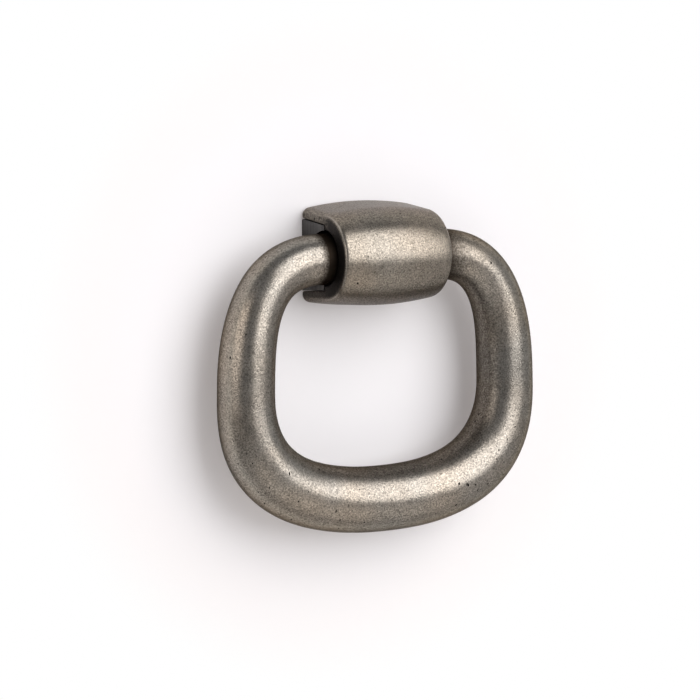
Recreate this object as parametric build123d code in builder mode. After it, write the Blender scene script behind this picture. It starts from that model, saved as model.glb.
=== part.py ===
"""Drop pull for a drawer or cabinet front, in millimetres.

A cast saddle stands on the drawer front and carries a thick closed ring, which swings on its top bar.
The saddle is in two halves, so that the closed ring can be put in: a barrel-shaped cover, open at the back,
and a wedge-sided block that closes the bearing behind the bar and takes the mounting screw.
A grub screw under the cover locks the two together.

Frame: the drawer front is the plane Y = 0 and the pull stands out towards -Y, with +Z up.
The origin is the mouth of the mounting screw's hole, in the middle of the block's back.
"""

import os
from math import cos, pi, radians, sin, tan

from build123d import *

# Bearing of the ring's bar
bar_radius = 4.25
running_clearance = 0.3
bar_sag = 0.2
end_play = 0.8

# Saddle cover
cover_length = 20.5
cover_wall = 2.75
barrel_bulge = 0.95
arm_flare_angle = 4.2
edge_round = 0.6
tip_chamfer = 0.5

# Base block
block_web = 2.9
shoulder_width = 0.9
wedge_angle = 5.0
fit_gap = 0.1
block_edge_break = 0.25
screw_tap_radius = 1.65

# Ring, measured to the middle of its round section
ring_width = 50.0
ring_drop = 40.65
widest_drop = 22.5
side_radius = 4.8
bottom_radius = 5.55
shoulder_pull = 0.92
limb_pull = 0.47
heel_pull = 0.73
bottom_pull = 0.62
sections_per_curve = 18

# Grub screw with a cone point
grub_radius = 1.5
grub_length = 4.0
grub_set_back = 3.4
grub_recess = 0.3
grub_point_length = 1.0
grub_point_radius = 0.6
grub_socket_flats = 1.5
grub_socket_depth = 1.5
thread_gap = 0.05

# Sizes that follow from those
groove_radius = bar_radius + running_clearance
axis_depth = block_web + groove_radius
end_radius = groove_radius + cover_wall
middle_radius = end_radius + barrel_bulge
half_length = cover_length / 2
bar_half_length = half_length + end_play
half_width = ring_width / 2
flare = radians(arm_flare_angle)
wedge_slope = tan(radians(wedge_angle))
bearing_axis = Axis((0, -axis_depth, 0), (1, 0, 0))
arm_plane = Plane((0, -axis_depth, 0), x_dir=(1, 0, 0), z_dir=(0, -cos(flare), -sin(flare)))
bar_plane = Plane((0, -axis_depth, -bar_sag), x_dir=(1, 0, 0), z_dir=(0, -1, 0))
grub_plane = Plane.XZ.offset(grub_set_back)
grub_axis = Axis((0, -grub_set_back, 0), (0, 0, 1))

os.makedirs("parts", exist_ok=True)


def arm_height(radius, depth):
    """Half height of the cover at a depth from the drawer front, where its round front has that radius."""
    return radius * cos(flare) + (axis_depth + radius * sin(flare) - depth) * tan(flare)


def rebate_height(depth):
    """Half height of the wedge-shaped space between the cover's arms at a depth from the drawer front."""
    return groove_radius + shoulder_width + (axis_depth - depth) * wedge_slope


def wedge_section(gap):
    """End view of the space behind the bar, from the drawer front to the plane of the bar's axis."""
    front_height = rebate_height(axis_depth) - gap
    back_height = rebate_height(0) - gap
    with BuildSketch() as section:
        with BuildLine():
            Polyline(
                (0, back_height),
                (-axis_depth, front_height),
                (-axis_depth, -front_height),
                (0, -back_height),
                close=True,
            )
        make_face()
    return section.sketch


def groove_section():
    """End view of the bearing, a round hole whose front half is in the cover and back half in the block."""
    with BuildSketch() as section:
        with Locations((-axis_depth, 0)):
            Circle(groove_radius)
    return section.sketch


def grub_half_section(gap, mouth):
    """Half of the grub screw's outline with a gap round it, from a mouth below its head to its point."""
    head = -arm_height(middle_radius, grub_set_back) + grub_recess
    tip = head + grub_length
    with BuildSketch() as section:
        with BuildLine():
            Polyline(
                (0, head - mouth),
                (grub_radius + gap, head - mouth),
                (grub_radius + gap, tip - grub_point_length + gap),
                (grub_point_radius + gap, tip + gap),
                (0, tip + gap),
                close=True,
            )
        make_face()
    return section.sketch


# Saddle cover: a barrel-shaped front and two straight arms that flare to the drawer front, hollow behind
with BuildPart() as saddle_cover:
    with BuildSketch(arm_plane) as barrel:
        with BuildLine():
            crown = ThreePointArc((-half_length, end_radius), (0, middle_radius), (half_length, end_radius))
            Polyline(crown @ 1, (half_length, 0), (-half_length, 0), crown @ 0)
        make_face()
        fillet(vertices().group_by(Axis.Y)[-1], radius=edge_round)
    revolve(axis=bearing_axis, revolution_arc=180 - 2 * arm_flare_angle)

    with BuildPart(mode=Mode.PRIVATE) as upper_arm:
        extrude(barrel.sketch, amount=-2 * axis_depth)
        split(bisect_by=Plane.XZ, keep=Keep.TOP)
        tip_edges = faces().sort_by(Axis.Y)[-1].edges().sort_by(Axis.Z)[1:]
        chamfer(tip_edges, length=tip_chamfer)
    add(upper_arm.part)
    add(mirror(upper_arm.part, about=Plane.XY))

    with BuildSketch(Plane.YZ):
        add(groove_section())
        add(wedge_section(gap=0))
    extrude(amount=half_length, both=True, mode=Mode.SUBTRACT)
    with BuildSketch(grub_plane):
        add(grub_half_section(gap=thread_gap, mouth=grub_length))
    revolve(axis=grub_axis, mode=Mode.SUBTRACT)

saddle_cover.part.label = "saddle_cover"
export_step(saddle_cover.part, "parts/saddle_cover.step")


# Base block: fills the cover's back, closes the bearing and is tapped for the mounting screw
with BuildPart() as base_block:
    with BuildSketch(Plane.YZ):
        add(wedge_section(gap=fit_gap))
    extrude(amount=half_length, both=True)
    chamfer(faces().sort_by(Axis.Y)[-1].edges().filter_by(Axis.X), length=block_edge_break)

    with BuildSketch(Plane.YZ):
        add(groove_section())
    extrude(amount=half_length, both=True, mode=Mode.SUBTRACT)
    with BuildSketch(Plane.XZ):
        Circle(screw_tap_radius)
    extrude(amount=axis_depth, mode=Mode.SUBTRACT)
    with BuildSketch(grub_plane):
        add(grub_half_section(gap=thread_gap, mouth=0))
    revolve(axis=grub_axis, mode=Mode.SUBTRACT)

base_block.part.label = "base_block"
export_step(base_block.part, "parts/base_block.step")


def tube_radius(drop):
    """Radius of the ring's section: thin at the bar, fuller down the limbs and thickest at the bottom."""
    share = drop / ring_drop
    if share < 0.5:
        return bar_radius + (side_radius - bar_radius) * sin(pi * share) ** 2
    return side_radius + (bottom_radius - side_radius) * cos(pi * share) ** 2


# Ring: a limb and a heel run from the bar's end to the middle of the bottom, and are then mirrored
with BuildPart() as drop_ring:
    with BuildLine(mode=Mode.PRIVATE):
        limb = Bezier(
            (bar_half_length, 0),
            (bar_half_length + (half_width - bar_half_length) * shoulder_pull, 0),
            (half_width, -widest_drop * (1 - limb_pull)),
            (half_width, -widest_drop),
        )
        heel = Bezier(
            (half_width, -widest_drop),
            (half_width, -widest_drop - (ring_drop - widest_drop) * heel_pull),
            (half_width * bottom_pull, -ring_drop),
            (0, -ring_drop),
        )

    # Sections at equal turns of the path, close enough for straight-ruled faces, which keep the mesh light
    places = []
    for curve, first_angle in ((limb, 0), (heel, -90)):
        places.append((curve, 0))
        for step in range(1, sections_per_curve):
            angle = first_angle - 90 * step / sections_per_curve
            places.append((curve, curve.find_tangent(angle)[0]))
    places.append((heel, 1))

    for curve, place in places:
        section_plane = Plane(curve @ place, x_dir=(0, 0, 1), z_dir=curve % place)
        with BuildSketch(Plane(bar_plane * section_plane)):
            Circle(tube_radius(-(curve @ place).Y))
    loft(ruled=True)
    mirror(about=Plane.YZ)

    with BuildSketch(Plane.YZ):
        with Locations((-axis_depth, -bar_sag)):
            Circle(bar_radius)
    extrude(amount=bar_half_length, both=True)

drop_ring.part.label = "drop_ring"
export_step(drop_ring.part, "parts/drop_ring.step")


# Grub screw: set in the underside of the cover, with its point in the block
with BuildPart() as grub_screw:
    with BuildSketch(grub_plane):
        add(grub_half_section(gap=0, mouth=0))
    revolve(axis=grub_axis)
    head_face = faces().sort_by(Axis.Z)[0]
    with BuildSketch(head_face):
        RegularPolygon(radius=grub_socket_flats / 2, side_count=6, major_radius=False)
    extrude(amount=-grub_socket_depth, mode=Mode.SUBTRACT)

grub_screw.part.label = "grub_screw"
export_step(grub_screw.part, "parts/grub_screw.step")
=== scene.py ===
"""Drop pull on a pale drawer front: a thick cast ring that swings in a two-part saddle, in aged pewter."""

import math

import bpy
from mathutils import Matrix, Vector


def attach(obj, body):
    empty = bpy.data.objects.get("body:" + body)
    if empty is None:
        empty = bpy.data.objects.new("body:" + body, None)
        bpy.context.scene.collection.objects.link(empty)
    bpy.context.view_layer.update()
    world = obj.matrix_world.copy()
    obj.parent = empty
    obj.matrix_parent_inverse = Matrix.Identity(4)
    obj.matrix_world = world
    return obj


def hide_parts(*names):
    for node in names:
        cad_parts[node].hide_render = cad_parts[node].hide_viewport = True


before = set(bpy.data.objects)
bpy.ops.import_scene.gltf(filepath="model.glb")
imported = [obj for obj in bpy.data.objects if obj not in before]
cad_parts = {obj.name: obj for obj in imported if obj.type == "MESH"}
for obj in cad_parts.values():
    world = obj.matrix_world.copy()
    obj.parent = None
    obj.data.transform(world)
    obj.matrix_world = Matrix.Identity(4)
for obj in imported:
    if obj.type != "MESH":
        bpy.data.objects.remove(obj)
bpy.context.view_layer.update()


# Base block: a plain iron casting with wedge sides that sits flat on the drawer front.
# It is milled across its ends, tapped for the screw from behind, and only its ends show beside the ring.
# Its finish is darker and smoother than the ring's, with faint lines that the cutter left from top to bottom.
MM = 0.001
noise_span = (0.3, 0.7)
block_dark = (0.075, 0.074, 0.073, 1.0)
block_light = (0.145, 0.141, 0.137, 1.0)
block_edge_tint = (0.55, 0.54, 0.53, 1.0)
block_tone_span = (0.12, 0.42)
block_roughness = (0.34, 0.52)
block_mottle_size = 2.5 * MM
cutter_line_pitch = 0.35 * MM
cutter_line_length = 9.0 * MM
cutter_line_depth = 0.03 * MM
cutter_line_strength = 0.5


def put_node(tree, kind, sockets=None, **options):
    """Adds a shader node, sets its options, and fills its sockets with values or other nodes' outputs."""
    node = tree.nodes.new(kind)
    for option, value in options.items():
        setattr(node, option, value)
    for socket, value in (sockets or {}).items():
        if isinstance(value, bpy.types.NodeSocket):
            tree.links.new(value, node.inputs[socket])
        else:
            node.inputs[socket].default_value = value
    return node


def calculate(tree, operation, *values, **options):
    """Result of a Math node that works on the values in their order."""
    sockets = dict(enumerate(values))
    return put_node(tree, "ShaderNodeMath", sockets, operation=operation, **options).outputs[0]


def map_range(tree, value, span, reach=(0.0, 1.0), curve="LINEAR"):
    """Takes a value from a span to a reach, and holds it at the ends."""
    low, high = span
    first, last = reach
    sockets = {"Value": value, "From Min": low, "From Max": high, "To Min": first, "To Max": last}
    return put_node(tree, "ShaderNodeMapRange", sockets, interpolation_type=curve).outputs[0]


def mix_colours(tree, share, first, second):
    """Blends from the first colour to the second by a share."""
    return put_node(tree, "ShaderNodeMix", {0: share, 6: first, 7: second}, data_type="RGBA").outputs[2]


def start_metal(name, edge_tint):
    """A metal material without links: itself, its node tree, its shader and the place in the part's frame."""
    material = bpy.data.materials.new(name)
    material.use_nodes = True
    tree = material.node_tree
    shader = tree.nodes["Principled BSDF"]
    shader.inputs["Metallic"].default_value = 1.0
    shader.inputs["Specular Tint"].default_value = edge_tint
    place = tree.nodes.new("ShaderNodeTexCoord").outputs["Object"]
    return material, tree, shader, place


def dress(node_name, material):
    """Gives a CAD piece its finished material in place of the plain one."""
    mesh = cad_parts[node_name].data
    mesh.materials.clear()
    mesh.materials.append(material)


block_metal, tree, shader, place = start_metal("block_metal", block_edge_tint)
line_scale = (1 / cutter_line_pitch, 1 / cutter_line_pitch, 1 / cutter_line_length)
stretched = put_node(tree, "ShaderNodeVectorMath", {0: place, 1: line_scale}, operation="MULTIPLY").outputs[0]
line_sockets = {"Vector": stretched, "Scale": 1.0, "Detail": 2.0}
lines = put_node(tree, "ShaderNodeTexNoise", line_sockets).outputs["Fac"]
mottle_sockets = {"Vector": place, "Scale": 1 / block_mottle_size, "Detail": 4.0}
mottle = put_node(tree, "ShaderNodeTexNoise", mottle_sockets).outputs["Fac"]
tone = calculate(tree, "MULTIPLY", lines, mottle)
tone_share = map_range(tree, tone, block_tone_span)
colour = mix_colours(tree, tone_share, block_dark, block_light)
rough = map_range(tree, mottle, noise_span, block_roughness)
bump_sockets = {"Height": lines, "Strength": cutter_line_strength, "Distance": cutter_line_depth}
bump = put_node(tree, "ShaderNodeBump", bump_sockets).outputs[0]
tree.links.new(colour, shader.inputs["Base Color"])
tree.links.new(rough, shader.inputs["Roughness"])
tree.links.new(bump, shader.inputs["Normal"])
dress("base_block", block_metal)


# Drop ring: one iron casting, round in section, tumbled smooth, blasted to a fine grain and aged to pewter.
# It is thin at the straight bar that turns in the saddle, fuller down the limbs and thickest at the bottom.
# The smooth tube here follows the same two curves and section radii as the CAD ring, and stands for it.
axis_depth = 7.45 * MM
bar_sag = 0.2 * MM
bar_half_length = 11.05 * MM
bar_radius = 4.25 * MM
side_radius = 4.8 * MM
bottom_radius = 5.55 * MM
half_width = 25.0 * MM
ring_drop = 40.65 * MM
widest_drop = 22.5 * MM
shoulder_pull = 0.92
limb_pull = 0.47
heel_pull = 0.73
bottom_pull = 0.62
steps_per_curve = 90
bar_steps = 24
ring_sides = 72
cast_unevenness = 0.035 * MM
ripple_rate_across = 410
ripple_rate_down = 370
ripple_start = 1.3
bar_centre = Vector((0.0, -axis_depth, -bar_sag))

limb = (
    Vector((bar_half_length, 0.0)),
    Vector((bar_half_length + (half_width - bar_half_length) * shoulder_pull, 0.0)),
    Vector((half_width, -widest_drop * (1 - limb_pull))),
    Vector((half_width, -widest_drop)),
)
heel = (
    Vector((half_width, -widest_drop)),
    Vector((half_width, -widest_drop - (ring_drop - widest_drop) * heel_pull)),
    Vector((half_width * bottom_pull, -ring_drop)),
    Vector((0.0, -ring_drop)),
)


def along_curve(corners, share):
    """Point and direction of a smooth curve of four corners, in the ring's own flat plane."""
    rest = 1 - share
    weights = (rest**3, 3 * rest**2 * share, 3 * rest * share**2, share**3)
    point = sum((corner * weight for corner, weight in zip(corners, weights)), Vector((0.0, 0.0)))
    slopes = (3 * rest**2, 6 * rest * share, 3 * share**2)
    legs = [after - before for before, after in zip(corners, corners[1:])]
    direction = sum((leg * slope for leg, slope in zip(legs, slopes)), Vector((0.0, 0.0)))
    return point, direction.normalized()


def tube_radius(drop):
    """Radius of the ring's section at a drop below the bar."""
    share = drop / ring_drop
    if share < 0.5:
        return bar_radius + (side_radius - bar_radius) * math.sin(math.pi * share) ** 2
    return side_radius + (bottom_radius - side_radius) * math.cos(math.pi * share) ** 2


right_half = []
for curve in (limb, heel):
    right_half += [along_curve(curve, step / steps_per_curve) for step in range(steps_per_curve)]
left_half = [(Vector((-point.x, point.y)), Vector((way.x, -way.y))) for point, way in reversed(right_half)]
ring_bottom = along_curve(heel, 1.0)
bar_line = []
for step in range(1, bar_steps):
    bar_line.append((Vector((bar_half_length * (2 * step / bar_steps - 1), 0.0)), Vector((1.0, 0.0))))
ring_path = right_half + [ring_bottom] + left_half + bar_line

# Beyond the bar the casting is uneven, by a ripple in radians to the metre that only takes metal away
vertices = []
for point, way in ring_path:
    outward = Vector((-way.y, way.x))
    for side in range(ring_sides):
        angle = 2 * math.pi * side / ring_sides
        reach = tube_radius(-point.y)
        if abs(point.x) > bar_half_length or point.y < -ring_drop / 2:
            wave_across = math.sin(point.x * ripple_rate_across + 2 * angle)
            wave_down = math.sin(point.y * ripple_rate_down + angle + ripple_start)
            reach += cast_unevenness * (wave_across * wave_down - 1) / 2
        flat = point + outward * reach * math.cos(angle)
        vertices.append(bar_centre + Vector((flat.x, -reach * math.sin(angle), flat.y)))
faces = []
for row in range(len(ring_path)):
    for side in range(ring_sides):
        here = row * ring_sides
        there = (row + 1) % len(ring_path) * ring_sides
        turn = (side + 1) % ring_sides
        faces.append((here + side, here + turn, there + turn, there + side))

ring_mesh = bpy.data.meshes.new("cast_ring")
ring_mesh.from_pydata(vertices, [], faces)
ring_mesh.shade_smooth()
cast_ring = bpy.data.objects.new("cast_ring", ring_mesh)
bpy.context.scene.collection.objects.link(cast_ring)

# Aged pewter, used by the ring and the cover: fine grain, mottle, slow warm and cool drifts, and black pits
# The bright colour is laid on rubbed edges that carry a painted highlight; the patina colour also carries
# painted shade
bright_pewter = (0.40, 0.36, 0.31, 1.0)
pit_black = (0.008, 0.007, 0.007, 1.0)
mottle_size = 2.4 * MM
drift_size = 13 * MM
grain_tones = (0.45, 1.55)
mottle_tones = (0.92, 1.08)
pit_wander = 0.9 * MM
pit_lean = (0.5, 0.9, 0.3)
pit_shortness = 0.5
largest_pit = 0.21
pit_raggedness = 0.24
pit_rim = (0.13, 0.17)
pit_depth = 2.0
patina_break_up = 0.65
mottle_roughness = (0.27, 0.33)
grain_roughness = (0.06, -0.05)
polished_roughness = 0.26
patina_roughness = 0.5
pit_roughness = 0.8
polished_grain = 0.3
grain_depth = 0.025 * MM

pewter = bpy.data.node_groups.new("aged_pewter_finish", "ShaderNodeTree")
pewter_inputs = (
    ("Place", "NodeSocketVector"),
    ("Cool Tone", "NodeSocketColor"),
    ("Warm Tone", "NodeSocketColor"),
    ("Grain Size", "NodeSocketFloat"),
    ("Pit Spacing", "NodeSocketFloat"),
    ("Pit Share", "NodeSocketFloat"),
    ("Polish And Highlight", "NodeSocketFloat"),
    ("Patina And Shade", "NodeSocketFloat"),
    ("Patina And Shade Tone", "NodeSocketColor"),
)
pewter_outputs = (
    ("Color", "NodeSocketColor"),
    ("Roughness", "NodeSocketFloat"),
    ("Height", "NodeSocketFloat"),
)
for name, kind in pewter_inputs:
    pewter.interface.new_socket(name, in_out="INPUT", socket_type=kind)
for name, kind in pewter_outputs:
    pewter.interface.new_socket(name, in_out="OUTPUT", socket_type=kind)


def mix_values(tree, share, first, second):
    """Blends from the first value to the second by a share."""
    return put_node(tree, "ShaderNodeMix", {0: share, 2: first, 3: second}).outputs[0]


given = pewter.nodes.new("NodeGroupInput").outputs
grain_scale = calculate(pewter, "DIVIDE", 1.0, given["Grain Size"])
grain_sockets = {"Vector": given["Place"], "Scale": grain_scale, "Detail": 2.0, "Roughness": 0.7}
grain = put_node(pewter, "ShaderNodeTexNoise", grain_sockets).outputs["Fac"]
mottle_sockets = {"Vector": given["Place"], "Scale": 1 / mottle_size, "Detail": 4.0}
mottle_noise = put_node(pewter, "ShaderNodeTexNoise", mottle_sockets).outputs
mottle = mottle_noise["Fac"]
drift_sockets = {"Vector": given["Place"], "Scale": 1 / drift_size, "Detail": 2.0}
drift = put_node(pewter, "ShaderNodeTexNoise", drift_sockets).outputs["Fac"]

warmth = map_range(pewter, drift, noise_span, curve="SMOOTHSTEP")
base = mix_colours(pewter, warmth, given["Cool Tone"], given["Warm Tone"])
grain_tone = map_range(pewter, grain, noise_span, grain_tones)
mottle_tone = map_range(pewter, mottle, noise_span, mottle_tones)
tone = calculate(pewter, "MULTIPLY", grain_tone, mottle_tone)
toned = put_node(pewter, "ShaderNodeVectorMath", {0: base, "Scale": tone}, operation="SCALE").outputs[0]

# Pits are scattered, ragged and of mixed sizes, and all lie longer one way
wander_sockets = {0: mottle_noise["Color"], "Scale": pit_wander}
wander = put_node(pewter, "ShaderNodeVectorMath", wander_sockets, operation="SCALE").outputs[0]
scatter_sockets = {0: given["Place"], 1: wander}
pit_place = put_node(pewter, "ShaderNodeVectorMath", scatter_sockets, operation="ADD").outputs[0]
lie_sockets = {"Vector": pit_place, "Rotation": pit_lean, "Scale": (1.0, 1.0, pit_shortness)}
pit_lie = put_node(pewter, "ShaderNodeMapping", lie_sockets).outputs[0]
pit_scale = calculate(pewter, "DIVIDE", 1.0, given["Pit Spacing"])
pit_cells = put_node(pewter, "ShaderNodeTexVoronoi", {"Vector": pit_lie, "Scale": pit_scale}).outputs
pit_dice = put_node(pewter, "ShaderNodeSeparateColor", {0: pit_cells["Color"]}).outputs[0]
pit_free = calculate(pewter, "SUBTRACT", 1.0, given["Pit Share"])
pit_size = map_range(pewter, pit_dice, (pit_free, 1.0), (0.0, largest_pit))
into_pit = calculate(pewter, "SUBTRACT", pit_size, pit_cells["Distance"])
ragged_pit = calculate(pewter, "MULTIPLY_ADD", grain, pit_raggedness, into_pit)
pits = map_range(pewter, ragged_pit, pit_rim, curve="SMOOTHSTEP")

# Patina, and the painted shade that comes in through the same input, keeps to the low spots of the grain
# where it thins out
bare = calculate(pewter, "SUBTRACT", 1.0, given["Patina And Shade"])
thinning = calculate(pewter, "MULTIPLY", bare, given["Patina And Shade"])
low_spots = map_range(pewter, grain, noise_span, (patina_break_up, -patina_break_up))
patina_and_shade = calculate(pewter, "MULTIPLY_ADD", thinning, low_spots, given["Patina And Shade"], use_clamp=True)

polished_and_highlit = mix_colours(pewter, given["Polish And Highlight"], toned, bright_pewter)
darkened = mix_colours(pewter, patina_and_shade, polished_and_highlit, given["Patina And Shade Tone"])
pitted = mix_colours(pewter, pits, darkened, pit_black)

mottle_rough = map_range(pewter, mottle, noise_span, mottle_roughness)
grain_rough = map_range(pewter, grain, noise_span, grain_roughness)
rough = calculate(pewter, "ADD", mottle_rough, grain_rough)
rough_polished = mix_values(pewter, given["Polish And Highlight"], rough, polished_roughness)
rough_darkened = mix_values(pewter, patina_and_shade, rough_polished, patina_roughness)
rough_pitted = mix_values(pewter, pits, rough_darkened, pit_roughness)

grain_left = map_range(pewter, given["Polish And Highlight"], (0.0, 1.0), (1.0, polished_grain))
grain_height = calculate(pewter, "MULTIPLY", grain, grain_left)
height = calculate(pewter, "MULTIPLY_ADD", pits, -pit_depth, grain_height)
put_node(pewter, "NodeGroupOutput", {"Color": pitted, "Roughness": rough_pitted, "Height": height})


def finish_pewter(tree, shader, sockets):
    """Lays the aged pewter finish on a metal shader."""
    finish = put_node(tree, "ShaderNodeGroup", sockets, node_tree=pewter).outputs
    bump = put_node(tree, "ShaderNodeBump", {"Height": finish["Height"], "Distance": grain_depth}).outputs[0]
    tree.links.new(finish["Color"], shader.inputs["Base Color"])
    tree.links.new(finish["Roughness"], shader.inputs["Roughness"])
    tree.links.new(bump, shader.inputs["Normal"])


ring_cool = (0.265, 0.245, 0.216, 1.0)
ring_warm = (0.296, 0.257, 0.212, 1.0)
ring_edge_tint = (0.30, 0.285, 0.27, 1.0)
# Dark brown of the ring's patina, also used as painted shade where the bar goes into the saddle
brown_patina_and_shade = (0.030, 0.022, 0.016, 1.0)
ring_grain_size = 0.28 * MM
ring_pit_spacing = 0.85 * MM
pitted_bottom = -35 * MM
sound_limbs = -25 * MM
bottom_pit_share = 0.85
limb_pit_share = 0.1
# Where the bar goes into the saddle it is painted with shade, with some patina
dark_bar_end = 11.5 * MM
left_bar_shade_end = 13.2 * MM
right_bar_shade_end = 16.2 * MM
bar_underside = -9 * MM
ring_middle = (0.0, -axis_depth, -20.5 * MM)
inner_darkness = 0.58
inner_side_edge = -0.58

# The bar is black where it goes into the saddle: painted shade of the saddle with some patina, darker for
# longer on the right
ring_pewter, tree, shader, place = start_metal("ring_pewter", ring_edge_tint)
across = put_node(tree, "ShaderNodeSeparateXYZ", {0: place}).outputs
leftward = calculate(tree, "MULTIPLY", across["X"], -1.0)
left_bar_shade = map_range(tree, leftward, (dark_bar_end, left_bar_shade_end), (1.0, 0.0))
right_bar_shade = map_range(tree, across["X"], (dark_bar_end, right_bar_shade_end), (1.0, 0.0))
bar_shade = calculate(tree, "MULTIPLY", left_bar_shade, right_bar_shade)
on_bar = calculate(tree, "GREATER_THAN", across["Z"], bar_underside)
bar_shade_and_patina = calculate(tree, "MULTIPLY", bar_shade, on_bar)

# The inside of the ring is darker, most where it faces straight in
middle_sockets = {0: place, 1: ring_middle}
from_ring_middle = put_node(tree, "ShaderNodeVectorMath", middle_sockets, operation="SUBTRACT").outputs[0]
flat_sockets = {0: from_ring_middle, 1: (1.0, 0.0, 1.0)}
spoke = put_node(tree, "ShaderNodeVectorMath", flat_sockets, operation="MULTIPLY").outputs[0]
spoke_way = put_node(tree, "ShaderNodeVectorMath", {0: spoke}, operation="NORMALIZE").outputs[0]
facing = tree.nodes.new("ShaderNodeTexCoord").outputs["Normal"]
facing_sockets = {0: facing, 1: spoke_way}
facing_out = put_node(tree, "ShaderNodeVectorMath", facing_sockets, operation="DOT_PRODUCT").outputs["Value"]
inner_darkening = map_range(tree, facing_out, (-1.0, inner_side_edge), (inner_darkness, 0.0))

pit_levels = (pitted_bottom, sound_limbs)
ring_finish = {
    "Place": place,
    "Cool Tone": ring_cool,
    "Warm Tone": ring_warm,
    "Grain Size": ring_grain_size,
    "Pit Spacing": ring_pit_spacing,
    "Pit Share": map_range(tree, across["Z"], pit_levels, (bottom_pit_share, limb_pit_share)),
    "Polish And Highlight": 0.0,
    "Patina And Shade": calculate(tree, "MAXIMUM", bar_shade_and_patina, inner_darkening),
    "Patina And Shade Tone": brown_patina_and_shade,
}
finish_pewter(tree, shader, ring_finish)
ring_mesh.materials.append(ring_pewter)
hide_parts("drop_ring")
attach(cast_ring, "ring")


# Saddle cover: a barrel-shaped iron casting, open at the back, that holds the ring's bar against the block.
# It has the ring's blasted and aged finish, rubbed bright with a painted highlight along the edges of its
# front, dark on its ends with patina and painted shade, and with painted shade on its top band, underside and
# bearing.
# The mesh here is the CAD cover with the soft edges of a tumbled casting, and stands for it.
running_clearance = 0.3 * MM
end_play = 0.8 * MM
cover_wall = 2.75 * MM
barrel_bulge = 0.94 * MM
arm_flare = math.radians(4.2)
shoulder_width = 0.9 * MM
wedge_angle = math.radians(5.0)
tip_round = 1.0 * MM
inner_tip_round = 0.35 * MM
arm_edge_round = 0.95 * MM
front_edge_round = 0.5 * MM
mouth_edge_round = 0.3 * MM
flat_end_margin = 0.1 * MM
corner_points = 8
arm_points = 5
arc_steps = 32
edge_steps = 6
barrel_steps = 20
screw_hole_radius = 1.55 * MM
screw_hole_set_back = 3.4 * MM
screw_hole_sides = 48
bore_run_out = 4 * MM
sharp_edge_angle = math.radians(40)
groove_radius = bar_radius + running_clearance
end_radius = groove_radius + cover_wall
cover_half_length = bar_half_length - end_play


def cover_half_outline(radius):
    """Upper half of the cover's end view: places, outward ways and edge rounds, outside and then inside."""
    steepest = math.pi / 2 + arm_flare
    outside = []
    tip_up = (radius - tip_round + (axis_depth - tip_round) * math.sin(arm_flare)) / math.cos(arm_flare)
    for point in range(corner_points):
        share = point / (corner_points - 1)
        way = Vector((math.cos(steepest * share), math.sin(steepest * share)))
        edge = mouth_edge_round + (arm_edge_round - mouth_edge_round) * share
        outside.append((Vector((-tip_round, tip_up)) + way * tip_round, way, edge))
    arm_start = outside[-1][0]
    arm_way = outside[-1][1]
    arm_end = Vector((-axis_depth, 0.0)) + arm_way * radius
    for point in range(1, arm_points + 1):
        outside.append((arm_start.lerp(arm_end, point / (arm_points + 1)), arm_way, arm_edge_round))
    for step in range(arc_steps + 1):
        share = step / arc_steps
        angle = steepest + (math.pi - steepest) * share
        way = Vector((math.cos(angle), math.sin(angle)))
        edge = arm_edge_round + (front_edge_round - arm_edge_round) * share
        outside.append((Vector((-axis_depth, 0.0)) + way * radius, way, edge))

    inside = []
    wedge_way = Vector((math.sin(wedge_angle), -math.cos(wedge_angle)))
    wedge_foot = Vector((-axis_depth, groove_radius + shoulder_width))
    along_wedge = (axis_depth - inner_tip_round * (1 - math.sin(wedge_angle))) / math.cos(wedge_angle)
    wedge_end = wedge_foot + Vector((math.cos(wedge_angle), math.sin(wedge_angle))) * along_wedge
    tip_centre = wedge_end - wedge_way * inner_tip_round
    for point in range(corner_points):
        angle = (wedge_angle - math.pi / 2) * point / (corner_points - 1)
        way = Vector((math.cos(angle), math.sin(angle)))
        inside.append((tip_centre + way * inner_tip_round, way, mouth_edge_round))
    for point in range(1, arm_points):
        inside.append((wedge_end.lerp(wedge_foot, point / arm_points), wedge_way, mouth_edge_round))
    inside.append((wedge_foot, Vector((1.0, -1.0)), mouth_edge_round))
    inside.append((Vector((-axis_depth, groove_radius)), Vector((1.0, -1.0)), mouth_edge_round))
    for step in range(1, arc_steps + 1):
        angle = math.pi / 2 * (1 + step / arc_steps)
        way = Vector((math.cos(angle), math.sin(angle)))
        inside.append((Vector((-axis_depth, 0.0)) + way * groove_radius, -way, mouth_edge_round))
    return outside, inside


def cover_outline(radius):
    """The whole end view: along the outside from the upper tip to the lower one, and back inside."""
    whole = []
    for upper in cover_half_outline(radius):
        lower = []
        for spot, way, edge in reversed(upper[:-1]):
            lower.append((Vector((spot.x, -spot.y)), Vector((way.x, -way.y)), edge))
        whole.append(upper + lower)
    outside, inside = whole
    return outside + inside[::-1]


end_outline = cover_outline(end_radius)
middle_outline = cover_outline(end_radius + barrel_bulge)
outline_points = len(end_outline)
crown_radius = (cover_half_length**2 + barrel_bulge**2) / (2 * barrel_bulge)

# Rows from the left end to the right one: how far along, how far round the edge, and how far in from it
edge_turns = [math.pi / 2 * step / edge_steps for step in range(edge_steps + 1)]
rows = [(-1.0, 1.0, 1.0, flat_end_margin)]
rows += [(-1.0, math.sin(turn), 1 - math.cos(turn), 0.0) for turn in reversed(edge_turns)]
rows += [(2 * step / barrel_steps - 1, 0.0, 0.0, 0.0) for step in range(1, barrel_steps)]
rows += [(1.0, math.sin(turn), 1 - math.cos(turn), 0.0) for turn in edge_turns]
rows += [(1.0, 1.0, 1.0, flat_end_margin)]

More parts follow.
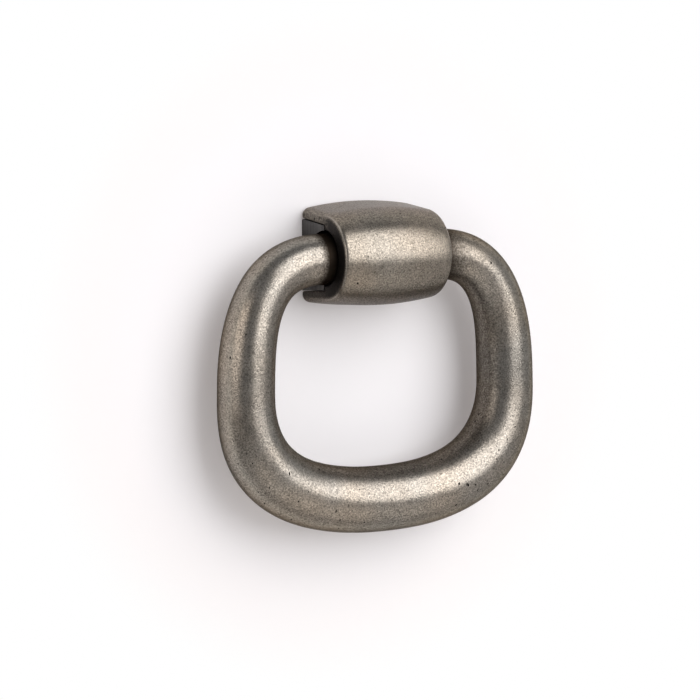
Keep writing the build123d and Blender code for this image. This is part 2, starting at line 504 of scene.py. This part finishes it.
vertices = []
for along, round_share, inset_share, margin in rows:
    for (end_spot, way, edge), (middle_spot, _, _) in zip(end_outline, middle_outline):
        x = along * (cover_half_length - edge + edge * round_share)
        bulge_share = 1 - (crown_radius - math.sqrt(crown_radius**2 - x**2)) / barrel_bulge
        spot = end_spot.lerp(middle_spot, bulge_share) - way * (edge * inset_share + margin)
        vertices.append((x, spot.x, spot.y))
faces = []
for row in range(len(rows) - 1):
    for point in range(outline_points):
        here = row * outline_points
        there = here + outline_points
        turn = (point + 1) % outline_points
        faces.append((here + point, here + turn, there + turn, there + point))
last_row = (len(rows) - 1) * outline_points
for point in range(outline_points // 2 - 1):
    opposite = outline_points - 1 - point
    faces.append((point, opposite, opposite - 1, point + 1))
    faces.append((last_row + point, last_row + point + 1, last_row + opposite - 1, last_row + opposite))

whole_mesh = bpy.data.meshes.new("whole_cover")
whole_mesh.from_pydata(vertices, [], faces)
cover_casting = bpy.data.objects.new("cover_casting", whole_mesh)
bpy.context.scene.collection.objects.link(cover_casting)

# The hole for the grub screw, bored through the lower arm
bore_vertices = []
for level in (-axis_depth - bore_run_out, -groove_radius):
    for side in range(screw_hole_sides):
        angle = 2 * math.pi * side / screw_hole_sides
        x = screw_hole_radius * math.cos(angle)
        bore_vertices.append((x, -screw_hole_set_back + screw_hole_radius * math.sin(angle), level))
bore_faces = [tuple(reversed(range(screw_hole_sides))), tuple(range(screw_hole_sides, 2 * screw_hole_sides))]
for side in range(screw_hole_sides):
    turn = (side + 1) % screw_hole_sides
    bore_faces.append((side, turn, screw_hole_sides + turn, screw_hole_sides + side))
bore_mesh = bpy.data.meshes.new("screw_bore")
bore_mesh.from_pydata(bore_vertices, [], bore_faces)
screw_bore = bpy.data.objects.new("screw_bore", bore_mesh)
bpy.context.scene.collection.objects.link(screw_bore)
boring = cover_casting.modifiers.new("boring", "BOOLEAN")
boring.operation = "DIFFERENCE"
boring.object = screw_bore
bored = cover_casting.evaluated_get(bpy.context.evaluated_depsgraph_get())
cover_mesh = bpy.data.meshes.new_from_object(bored)
cover_casting.modifiers.clear()
cover_casting.data = cover_mesh
bpy.data.objects.remove(screw_bore)
cover_mesh.shade_smooth()
cover_mesh.set_sharp_from_angle(angle=sharp_edge_angle)

cover_cool = (0.238, 0.214, 0.181, 1.0)
cover_warm = (0.265, 0.226, 0.181, 1.0)
cover_edge_tint = (0.79, 0.765, 0.75, 1.0)
black_patina_and_shade = (0.021, 0.020, 0.020, 1.0)
cover_grain_size = 0.26 * MM
cover_pit_spacing = 1.15 * MM
cover_pit_share = 0.22
# The bright line along the front end edges is rubbed metal with a painted highlight
edge_line_inner = 9.85 * MM
edge_line_middle = 10.06 * MM
edge_line_outer = 10.2 * MM
edge_line_fade_start = -9.5 * MM
edge_line_fade_end = -5.8 * MM
# Ends darkened with patina and painted shade, bearing with painted shade
end_dark_start = 10.0 * MM
upper_arm_darkness = 0.4
lower_arm_darkness = 0.8
front_end_darkness = 0.95
arm_dark_level = -3.0 * MM
arm_light_level = 5.0 * MM
# Painted shade on the band above the front's highlight and on the underside
top_shade_start = 4.6 * MM
top_shade_full = 6.4 * MM
top_darkness = 0.22
underside_full = -7.6 * MM
underside_start = -5.4 * MM
underside_darkness = 0.55
bearing_axis = (0.0, -axis_depth, 0.0)
bearing_dark_radius = 4.8 * MM
bearing_lit_radius = 6.6 * MM

# Both end edges are rubbed bright along the front, with a painted highlight on that line
cover_pewter, tree, shader, place = start_metal("cover_pewter", cover_edge_tint)
across = put_node(tree, "ShaderNodeSeparateXYZ", {0: place}).outputs
from_middle = calculate(tree, "ABSOLUTE", across["X"])
edge_line_rise = map_range(tree, from_middle, (edge_line_inner, edge_line_middle), curve="SMOOTHSTEP")
off_end = map_range(tree, from_middle, (edge_line_middle, edge_line_outer), (1.0, 0.0))
rubbed_and_highlit_line = calculate(tree, "MULTIPLY", edge_line_rise, off_end)
at_front = map_range(tree, across["Y"], (edge_line_fade_start, edge_line_fade_end), (1.0, 0.0), curve="SMOOTHSTEP")
polish_and_highlight = calculate(tree, "MULTIPLY", rubbed_and_highlit_line, at_front)

# The ends are dark with patina and painted shade, most on the lower arm and at the front, and the bearing has
# painted shade
arm_levels = (arm_dark_level, arm_light_level)
arm_darkness = map_range(tree, across["Z"], arm_levels, (lower_arm_darkness, upper_arm_darkness))
darkness = map_range(tree, at_front, (0.0, 1.0), (arm_darkness, front_end_darkness))
end_patina_and_shade = map_range(tree, from_middle, (end_dark_start, cover_half_length), (0.0, darkness))
flat_sockets = {0: place, 1: (0.0, 1.0, 1.0)}
in_end_view = put_node(tree, "ShaderNodeVectorMath", flat_sockets, operation="MULTIPLY").outputs[0]
axis_sockets = {0: in_end_view, 1: bearing_axis}
from_axis = put_node(tree, "ShaderNodeVectorMath", axis_sockets, operation="DISTANCE").outputs["Value"]
bearing_shade = map_range(tree, from_axis, (bearing_dark_radius, bearing_lit_radius), (1.0, 0.0))
end_and_bearing_shade = calculate(tree, "MAXIMUM", end_patina_and_shade, bearing_shade)
# The top band above the highlight and the underside are darkened with painted shade
top_shade = map_range(tree, across["Z"], (top_shade_start, top_shade_full), (0.0, top_darkness))
underside_levels = (underside_full, underside_start)
underside_shade = map_range(tree, across["Z"], underside_levels, (underside_darkness, 0.0))
top_and_underside_shade = calculate(tree, "MAXIMUM", top_shade, underside_shade)

cover_finish = {
    "Place": place,
    "Cool Tone": cover_cool,
    "Warm Tone": cover_warm,
    "Grain Size": cover_grain_size,
    "Pit Spacing": cover_pit_spacing,
    "Pit Share": cover_pit_share,
    "Polish And Highlight": polish_and_highlight,
    "Patina And Shade": calculate(tree, "MAXIMUM", end_and_bearing_shade, top_and_underside_shade),
    "Patina And Shade Tone": black_patina_and_shade,
}
finish_pewter(tree, shader, cover_finish)
cover_mesh.materials.append(cover_pewter)
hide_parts("saddle_cover")
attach(cover_casting, "saddle")


# Grub screw: a small blackened steel socket screw, turned into the underside of the cover until its point
# sits in the block and locks the two together. It shows only from below.
screw_edge_tint = (0.7, 0.7, 0.7, 1.0)
screw_mottle_size = 0.4 * MM
screw_tones = (0.02, 0.09)
screw_roughness = (0.3, 0.5)

screw_steel, tree, shader, place = start_metal("screw_steel", screw_edge_tint)
blackening_sockets = {"Vector": place, "Scale": 1 / screw_mottle_size, "Detail": 3.0}
blackening = put_node(tree, "ShaderNodeTexNoise", blackening_sockets).outputs["Fac"]
tree.links.new(map_range(tree, blackening, noise_span, screw_tones), shader.inputs["Base Color"])
tree.links.new(map_range(tree, blackening, noise_span, screw_roughness), shader.inputs["Roughness"])
dress("grub_screw", screw_steel)


# Drawer front and floor: a plain white painted panel that the pull is screwed to, and a pale floor below it.
# For the camera and in reflections the paint glows, as painted light: a little near the pull, lifting its
# shadows and tinting them pink, and fully to the studio's white away from it. Both sheets are clear from
# behind.
panel_half_width = 600 * MM
panel_top = 500 * MM
floor_level = -160 * MM
floor_reach = 900 * MM
panel_gap = 0.05 * MM
paint_white = (0.92, 0.916, 0.936, 1.0)
# Near the pull the paint glows a little, pinkish, as painted light that lifts its shadows
near_glow = (1.0, 0.885, 0.845, 1.0)
far_white = (1.0, 1.0, 1.0, 1.0)
near_glow_share = 0.165
floor_pale = (0.52, 0.51, 0.50, 1.0)
fade_centre = (-4 * MM, 0.0, -16 * MM)
fade_start = 34 * MM
fade_end = 58 * MM


def pale_paint(name, colour, fades):
    """Paint that is clear from behind; where it fades it glows for the camera and in reflections, a little
    painted light near the pull that lifts and pinks its shadows, and plain white away from it.
    """
    material = bpy.data.materials.new(name)
    material.use_nodes = True
    tree = material.node_tree
    tree.nodes.remove(tree.nodes["Principled BSDF"])
    surface = put_node(tree, "ShaderNodeBsdfDiffuse", {"Color": colour}).outputs[0]
    if fades:
        place = tree.nodes.new("ShaderNodeTexCoord").outputs["Object"]
        away_sockets = {0: place, 1: fade_centre}
        away = put_node(tree, "ShaderNodeVectorMath", away_sockets, operation="DISTANCE").outputs["Value"]
        fade = map_range(tree, away, (fade_start, fade_end), (near_glow_share, 1.0), curve="SMOOTHSTEP")
        ray = tree.nodes.new("ShaderNodeLightPath").outputs
        seen = calculate(tree, "ADD", ray["Is Camera Ray"], ray["Is Glossy Ray"])
        shown = calculate(tree, "ADD", seen, ray["Is Transmission Ray"])
        share = calculate(tree, "MULTIPLY", fade, shown)
        glow_tint = mix_colours(tree, fade, near_glow, far_white)
        glow = put_node(tree, "ShaderNodeEmission", {"Color": glow_tint, "Strength": 1.0}).outputs[0]
        surface = put_node(tree, "ShaderNodeMixShader", {0: share, 1: surface, 2: glow}).outputs[0]
    behind = tree.nodes.new("ShaderNodeNewGeometry").outputs["Backfacing"]
    clear = tree.nodes.new("ShaderNodeBsdfTransparent").outputs[0]
    both = put_node(tree, "ShaderNodeMixShader", {0: behind, 1: surface, 2: clear}).outputs[0]
    tree.links.new(both, tree.nodes["Material Output"].inputs["Surface"])
    return material


def stage_sheet(name, corners, material):
    """A flat stage sheet that faces the side from which its corners run anticlockwise."""
    mesh = bpy.data.meshes.new(name)
    mesh.from_pydata(corners, [], [tuple(range(len(corners)))])
    mesh.materials.append(material)
    sheet = bpy.data.objects.new(name, mesh)
    bpy.context.scene.collection.objects.link(sheet)


panel_corners = [
    (-panel_half_width, panel_gap, floor_level),
    (panel_half_width, panel_gap, floor_level),
    (panel_half_width, panel_gap, panel_top),
    (-panel_half_width, panel_gap, panel_top),
]
floor_corners = [
    (-floor_reach, -floor_reach, floor_level),
    (floor_reach, -floor_reach, floor_level),
    (floor_reach, floor_reach, floor_level),
    (-floor_reach, floor_reach, floor_level),
]
stage_sheet("drawer_front", panel_corners, pale_paint("panel_paint", paint_white, fades=True))
stage_sheet("pale_floor", floor_corners, pale_paint("floor_paint", floor_pale, fades=False))


# Studio light: a large soft box from the right and above, and weak ones from the right side, from the left,
# where the light is warm, and from below. The room around them is an even grey.
light_target = Vector((-2.0, -8.0, -18.0)) * MM
key_colour = (1.0, 0.985, 0.985)
side_colour = (1.0, 1.0, 1.0)
warm_colour = (1.0, 0.92, 0.86)
low_colour = (1.0, 0.93, 0.84)
room_tone = (0.228, 0.239, 0.257, 1.0)


def soft_box(name, direction, distance, size, radiance, colour):
    """Lamp facing the pull: direction as azimuth and elevation in degrees, distance and size in metres."""
    turn, rise = (math.radians(angle) for angle in direction)
    width, height = size
    way = Vector((math.sin(turn) * math.cos(rise), -math.cos(turn) * math.cos(rise), math.sin(rise)))
    lamp = bpy.data.lights.new(name, "AREA")
    lamp.shape = "RECTANGLE"
    lamp.size = width
    lamp.size_y = height
    lamp.energy = radiance * math.pi * width * height
    lamp.color = colour
    box = bpy.data.objects.new(name, lamp)
    box.location = light_target + way * distance
    box.rotation_euler = way.to_track_quat("Z", "Y").to_euler()
    bpy.context.scene.collection.objects.link(box)


soft_box("key_box", direction=(22.5, 27), distance=0.55, size=(0.53, 0.63), radiance=3.3, colour=key_colour)
soft_box("side_box", direction=(75, 10), distance=0.50, size=(0.40, 0.50), radiance=0.25, colour=side_colour)
soft_box("warm_box", direction=(-74, 12), distance=0.16, size=(0.085, 0.1), radiance=1.55, colour=warm_colour)
soft_box("low_box", direction=(5, -58), distance=0.15, size=(0.20, 0.14), radiance=0.35, colour=low_colour)

world = bpy.data.worlds.new("pale_room")
bpy.context.scene.world = world
world.use_nodes = True
world.node_tree.nodes["Background"].inputs["Color"].default_value = room_tone


# Camera: from the left of the pull and a little above it, as the photograph was taken.
# Its distance and focal length set the photograph's scale, and its target sets the framing.
camera_azimuth = math.radians(30.0)
camera_elevation = math.radians(6.3)
camera_distance = 700 * MM
camera_target = Vector((-5.3 * MM, -axis_depth, -15.55 * MM))
focal_pixels = 4215
picture_pixels = 700
sensor_width = 36.0
nearest_seen = 10 * MM

camera_data = bpy.data.cameras.new("camera")
camera_data.sensor_width = sensor_width
camera_data.lens = focal_pixels * sensor_width / picture_pixels
camera_data.clip_start = nearest_seen
camera = bpy.data.objects.new("camera", camera_data)
back = Vector(
    (
        -math.sin(camera_azimuth) * math.cos(camera_elevation),
        -math.cos(camera_azimuth) * math.cos(camera_elevation),
        math.sin(camera_elevation),
    )
)
camera.location = camera_target + back * camera_distance
camera.rotation_euler = back.to_track_quat("Z", "Y").to_euler()
bpy.context.scene.collection.objects.link(camera)
bpy.context.scene.camera = camera
bpy.context.scene.view_settings.view_transform = "Standard"
